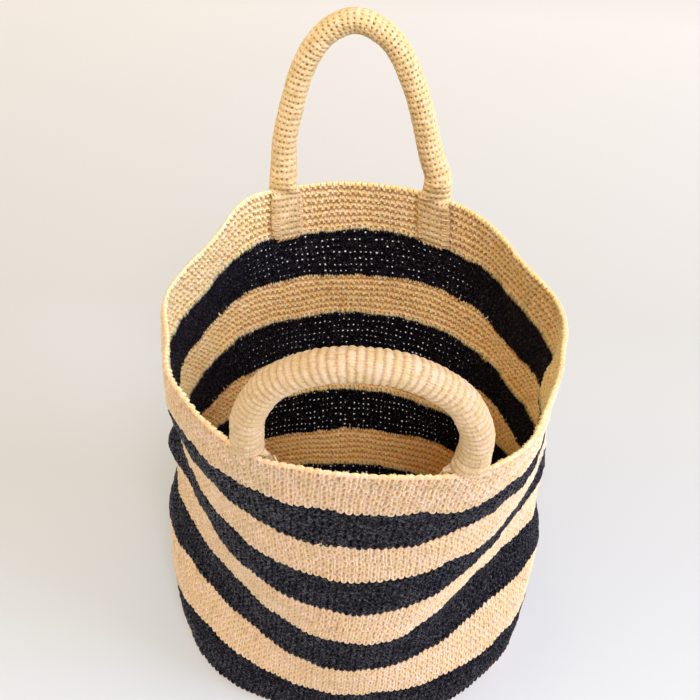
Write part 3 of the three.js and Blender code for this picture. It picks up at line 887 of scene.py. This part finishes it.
def handle_line(name, arch, feet, pivot, top_round, top_radius, end_radius, flare, aside, wider):
    """Sections of a handle from foot to foot, and its arch's middle line. A section is a row of its centre,
    sideways and outward directions, half width, half thickness, squareness and round height."""
    side = arch["side"]
    lean = math.radians(-side * arch["lean"])
    ex = np.array([1.0, 0, 0])
    out = np.array([0, side * math.cos(lean), side * math.sin(lean)])
    upward = np.array([0, -math.sin(lean), math.cos(lean)])

    def in_arch(across, up):
        return pivot + np.array([across, 0, 0]) + upward * up

    def foot_stops(foot, rising):
        across, angle, crest = foot
        rows = []
        middle = ex if rising else -ex
        sideways = side * middle
        for drop, half, thick, power in FEET[name]:
            h = 1 - drop / WALL_HEIGHT
            n, _ = wall_frame(angle, h)
            along = unit(wall(angle + 0.01, h) - wall(angle - 0.01, h))
            centre = inside_point(angle, 0.0, drop, 1.8 + thick)
            flip = 1 if along @ sideways > 0 else -1
            rows.append(np.concatenate([centre, along * flip, n, [half, thick, power, FOOT_ROUND]]))
        flat = rows[-1][6:9]
        inner = wider[0 if rising else 1]
        for up, inward, half, thick, turned in NECKS[name]:
            more = inner * math.exp(-max(up, 0) / 9)
            low = crest + np.array([0, -side * inward, up]) + middle * (more / 2 - aside)
            facing = unit(turned * out + (1 - turned) * flat)
            rows.append(np.concatenate([low, sideways, facing, [half + more / 2, thick, 2.1, LEG_ROUND]]))
        half = end_radius + flare + inner * 0.1
        low = in_arch(across, ARCH_START / 2) - out + middle * (inner * 0.1 - aside)
        rows.append(np.concatenate([low, sideways, out, [half, half - 0.4, 2.0, LEG_ROUND]]))
        return rows

    stops = []
    for (across, up), (right, over) in zip(arch["route"], FULLER[name]):
        stop = in_arch(across * arch["width"] / 2, max(up * arch["height"], ARCH_START))
        stops.append(stop + right * ex + over * upward)
    curve = smooth_path(stops, ARCH_STEPS)
    rows = []
    for p, ahead, s in zip(curve, unit(np.gradient(curve, axis=0)), np.linspace(0, 1, ARCH_STEPS)):
        rise = math.sin(math.pi * s) ** 0.8
        radius = end_radius + (top_radius - end_radius) * rise + flare * math.exp(-min(s, 1 - s) * 18)
        tall = LEG_ROUND + (top_round - LEG_ROUND) * rise
        rows.append(np.concatenate([p, unit(np.cross(out, ahead)), out, [radius, radius, 2.0, tall]]))
    left, right = foot_stops(feet[0], True), foot_stops(feet[1], False)
    left = catmull(left + rows[1:3], np.linspace(0, len(left), 6 * len(left)))
    right = catmull(right + rows[-3:-1][::-1], np.linspace(0, len(right), 6 * len(right)))
    return np.vstack([left, rows[2:-2], right[::-1]]), curve


def squared(wave, power):
    return np.sign(wave) * np.abs(wave) ** power


def round_sections(values, share, off):
    """Points of a handle's cloth: its sections, the share of the way round them, millimetres out."""
    centre, e1, e2 = values[..., 0:3], unit(values[..., 3:6]), unit(values[..., 6:9])
    half, thick, power = values[..., 9], values[..., 10], values[..., 11]
    # even spacing round each section
    fine = np.linspace(0, 2 * np.pi, 181)
    turn = np.empty_like(share)
    for row in range(len(share)):
        bend = 2 / power[row].mean()
        cx = half[row].mean() * squared(np.cos(fine), bend)
        cy = thick[row].mean() * squared(np.sin(fine), bend)
        length = np.append(0, np.cumsum(np.hypot(np.diff(cx), np.diff(cy))))
        turn[row] = np.interp(share[row] * length[-1], length, fine)
    cos, sin = np.cos(turn), np.sin(turn)
    bend = 2 / power
    cx, cy = half * squared(cos, bend), thick * squared(sin, bend)
    nx, ny = squared(cos, 2 - bend) / half, squared(sin, 2 - bend) / thick
    length = np.maximum(np.hypot(nx, ny), 1e-9)
    out = e1 * (nx / length)[..., None] + e2 * (ny / length)[..., None]
    return centre + e1 * cx[..., None] + e2 * cy[..., None] + out * (off - 2.0)[..., None]


RING_OFF, TUBE_LIP, PIT_OFF = 2.05, 1.5, -1.4  # how far out a ring and a hole's edge and middle are
TUBE_HOLE_Y, TUBE_SLANT, TUBE_STITCH_WIDTH = 0.1, 0.03, 4.2


def handle_piece(name, arch, around, holes, relief, loose, **line):
    """Foot, neck, arch, neck and foot as one crocheted tube, with its stitches' rounds across it."""
    feet, pivot = arch_seat(arch)
    table, curve = handle_line(name, arch, feet, pivot, **line)
    run = run_along(table[:, :3])
    counted = np.append(0, np.cumsum(np.diff(run) * 2 / (table[1:, 12] + table[:-1, 12])))
    rounds = int(round(counted[-1]))
    counted *= rounds / counted[-1]
    # stitch sheet round the tube
    chance = chances(rounds, around, rng.uniform(*holes, (rounds, around)), TUBE_LIP)
    sheet = TUBE_OFF.copy()
    sheet[:3] = RING_OFF + (sheet[:3] - RING_OFF) * np.where(sheet[:3] > 0.5, relief, 1)
    sheet[3:, 0] = RING_OFF + (sheet[3:, 0] - RING_OFF) * loose
    x, y, off = stitch_grid(rounds, around, TUBE_Y, sheet, TUBE_RING, chance, 1, TUBE_HOLE_Y, loose)
    off[:, 1, :, 3] = PIT_OFF
    x, y, off = flat_grid(x, y, off)
    y = np.clip(y, 0, rounds)
    levels, width = x.shape
    values = resample(np.interp(y, counted, run), run, table)
    points = round_sections(values, (x + TUBE_SLANT * y) / around % 1, off)
    tone = np.repeat(chance["tone"], len(TUBE_Y), 0)[:, np.arange(width) // len(COLUMNS)]
    tone = tone * loose + (1 - loose) / 2
    # mask of the painted shade in the grooves and holes: 0 deep in a stitch, 1 on top
    depth = np.clip((off - 0.2) / 1.9, 0, 1)
    up = np.floor(y) + (y % 1) * 0.1 + (3 if arch["side"] > 0 else 400)
    marks = np.stack([x * TUBE_STITCH_WIDTH, up, tone, depth, 0 * x], -1)
    mesh = Mesh()
    mesh.add(points, marks)
    faces, corners = grid_faces(levels, width, False)
    uv = np.stack([corners[..., 1] / levels, corners[..., 0] / width], -1)
    strips = 4
    strip = np.floor(uv[..., :1, 0] * strips - 1e-9).clip(0)
    u = uv[..., 0] * strips - strip
    v = (strip + uv[..., 1]) / strips
    mesh.quads(faces.reshape(-1, 4), np.stack([u, v], -1).reshape(-1, 4, 2))
    tip_uv = np.tile(np.array([[0.5, 0.999], [0.501, 0.9995], [0.499, 0.9995]]), (width, 1, 1))
    for row in (0, levels - 1):
        tip = mesh.add(points[row].mean(0)[None], marks[row, :1])
        m = np.arange(width)
        n = (m + 1) % width
        ring = row * width
        tri = np.stack([np.full(width, tip), ring + n, ring + m], -1)
        if row:
            tri = tri[:, [0, 2, 1]]
        mesh.quads(tri, tip_uv)
    obj = mesh.build(f"{name}_handle_crochet", HANDLE_RAFFIA[name], None)
    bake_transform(obj)
    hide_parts(f"{name}_handle_sleeve", f"{name}_left_foot", f"{name}_right_foot")
    return feet, curve


ROPE_LAY, STRAND_RADIUS = 34, 2.9  # millimetres for a full turn of the strands


def rope_piece(name, curve):
    """Three laid strands inside the tube."""
    mesh = Mesh()
    steps = 110
    line = resample(np.linspace(0, len(curve) - 1, steps), np.arange(len(curve)), curve)
    plane = unit(np.cross(line[steps // 2] - line[0], line[-1] - line[0]))
    e1 = unit(np.cross(plane, unit(np.gradient(line, axis=0))))
    run = run_along(line)
    for k in range(3):
        turn = run / ROPE_LAY * 2 * np.pi + k * 2 * np.pi / 3
        p = line + STRAND_RADIUS * (np.cos(turn)[:, None] * e1 + np.sin(turn)[:, None] * plane)
        tube(mesh, p[None], np.full((1, steps), STRAND_RADIUS), 8, 0.3 + 0.2 * k, 900 + k, plane)
    mesh.build(f"{name}_rope_strands", ROPE, f"{name}_handle", [f"{name}_handle_rope"])


def seam_piece(name, place, foot):
    """Whip stitches that hold a foot to the band, over its two sides and its lower edge."""
    _, angle, _ = foot
    mesh = Mesh()
    lines = []
    half, flat = 14.0, 0.86 if name == "front" else 1.0
    # points of a stitch: out from the foot's edge or aside, down, and inwards of the cloth's middle
    side_stitch = [(1.9, 1.3, 1.8), (1.3, 0.8, 4.0), (-0.8, 0, 7.2 * flat), (-2.6, -0.7, 8.8 * flat),
                   (-3.6, -1.1, 7.9 * flat)]
    low_stitch = [(1.0, 3.2, 1.8), (0.6, 2.6, 3.8), (0, 0.6, 5.6), (-0.6, -2.0, 8.2), (-0.9, -3.4, 8.0)]
    for edge in (-1, 1):
        for drop in np.linspace(9, FOOT_DROP - 6, 7):
            lines.append([(edge * (half + x), drop + y, deep) for x, y, deep in side_stitch])
    for middle in (-9, -4.5, 0, 4.5, 9):
        lines.append([(middle + x, FOOT_DROP + y, deep) for x, y, deep in low_stitch])
    lines = np.array(lines) + rng.normal(0, 0.15, (len(lines), 1, 3))
    points = inside_point(angle, lines[..., 0], lines[..., 1], lines[..., 2])
    tube(mesh, points, np.broadcast_to([0.35, 0.6, 0.7, 0.6, 0.35], points.shape[:2]), 6,
         rng.random(len(lines)), 700)
    mesh.build(f"{name}_{place}_stitches", THREAD, "bag", [f"{name}_{place}_seam"])


for handle, arch in ARCHES.items():
    feet, curve = handle_piece(handle, arch, **HANDLE_LOOKS[handle])
    rope_piece(handle, curve)
    seam_piece(handle, "left", feet[0])
    seam_piece(handle, "right", feet[1])


# Floor, light and camera
def paper():
    """Pale paper with painted light and shade: lighter and bluer in front of the bag, darker just behind it
    and lightest far behind.
    """
    n = Nodes("floor_paper")
    split = n.add("ShaderNodeSeparateXYZ", [n.place()])
    far = n.line(n.math("ADD", split.outputs["Y"], 0.5), 0.4)
    color = n.ramp(far, [(0.0, (0.555, 0.595, 0.605, 1)), (0.4, (0.505, 0.51, 0.475, 1)),
                         (1.0, (0.715, 0.725, 0.71, 1))])
    return n.finish({"Base Color": color, "Roughness": 0.9})


def sweep():
    """Floor that curves up into a backdrop, far behind the bag."""
    me = bpy.data.meshes.new("floor_sweep")
    profile = [(-6, 0), (5.0, 0), (6.0, 0.12), (6.8, 0.5), (7.2, 1.2), (7.3, 2.2), (7.3, 6)]
    verts, faces = [], []
    for y, z in profile:
        verts += [(-8, y, z), (8, y, z)]
    for i in range(len(profile) - 1):
        faces.append((2 * i, 2 * i + 1, 2 * i + 3, 2 * i + 2))
    me.from_pydata(verts, [], faces)
    me.polygons.foreach_set("use_smooth", [True] * len(faces))
    me.materials.append(paper())
    obj = bpy.data.objects.new("floor_sweep", me)
    bpy.context.scene.collection.objects.link(obj)
    obj.location.z = -0.0015


sweep()

world = bpy.data.worlds.new("studio")
bpy.context.scene.world = world
world.use_nodes = True
sky = world.node_tree.nodes["Background"].inputs
sky["Color"].default_value = (1.0, 0.81, 0.585, 1)
sky["Strength"].default_value = 0.90


def area(name, place, aim, size, power, color):
    light = bpy.data.lights.new(name, "AREA")
    light.shape = "DISK"
    light.size = size
    light.energy = power
    light.color = color
    obj = bpy.data.objects.new(name, light)
    obj.location = place
    obj.rotation_euler = (Vector(aim) - Vector(place)).to_track_quat("-Z", "Y").to_euler()
    bpy.context.scene.collection.objects.link(obj)


area("key", (0.8, -3.3, 3.5), (0, 0, 0.2), 2.4, 183, (0.745, 0.794, 1.0))
area("window", (4.4, -0.9, 1.8), (0, 0, 0.2), 2.8, 265, (0.584, 0.696, 1.0))
area("overhead", (0.5, -2.0, 4.4), (0, 0, 0.2), 2.4, 24, (1.0, 0.98, 0.95))
area("lamp", (-3.6, -1.2, 3.2), (0, 0, 0.25), 2.4, 37, (1.0, 0.984, 0.83))

camera = bpy.data.cameras.new("camera")
camera.sensor_width = 36
camera.lens = 1.089 * camera.sensor_width
eye = bpy.data.objects.new("camera", camera)
bpy.context.scene.collection.objects.link(eye)
place = Vector((0.0027, -0.4379, 0.6988))
pitch, yaw, roll = math.radians(39.96), -0.027, -0.0454
ahead = Vector((math.sin(yaw) * math.cos(pitch), math.cos(yaw) * math.cos(pitch), -math.sin(pitch)))
level = Vector((math.cos(yaw), -math.sin(yaw), 0))
down = ahead.cross(level)
right = level * math.cos(roll) + down * math.sin(roll)
down = down * math.cos(roll) - level * math.sin(roll)
turned = Matrix((right, -down, -ahead)).transposed()
eye.matrix_world = Matrix.Translation(place) @ turned.to_4x4()
bpy.context.scene.camera = eye
bpy.context.scene.view_settings.view_transform = "Standard"

bpy.context.view_layer.update()
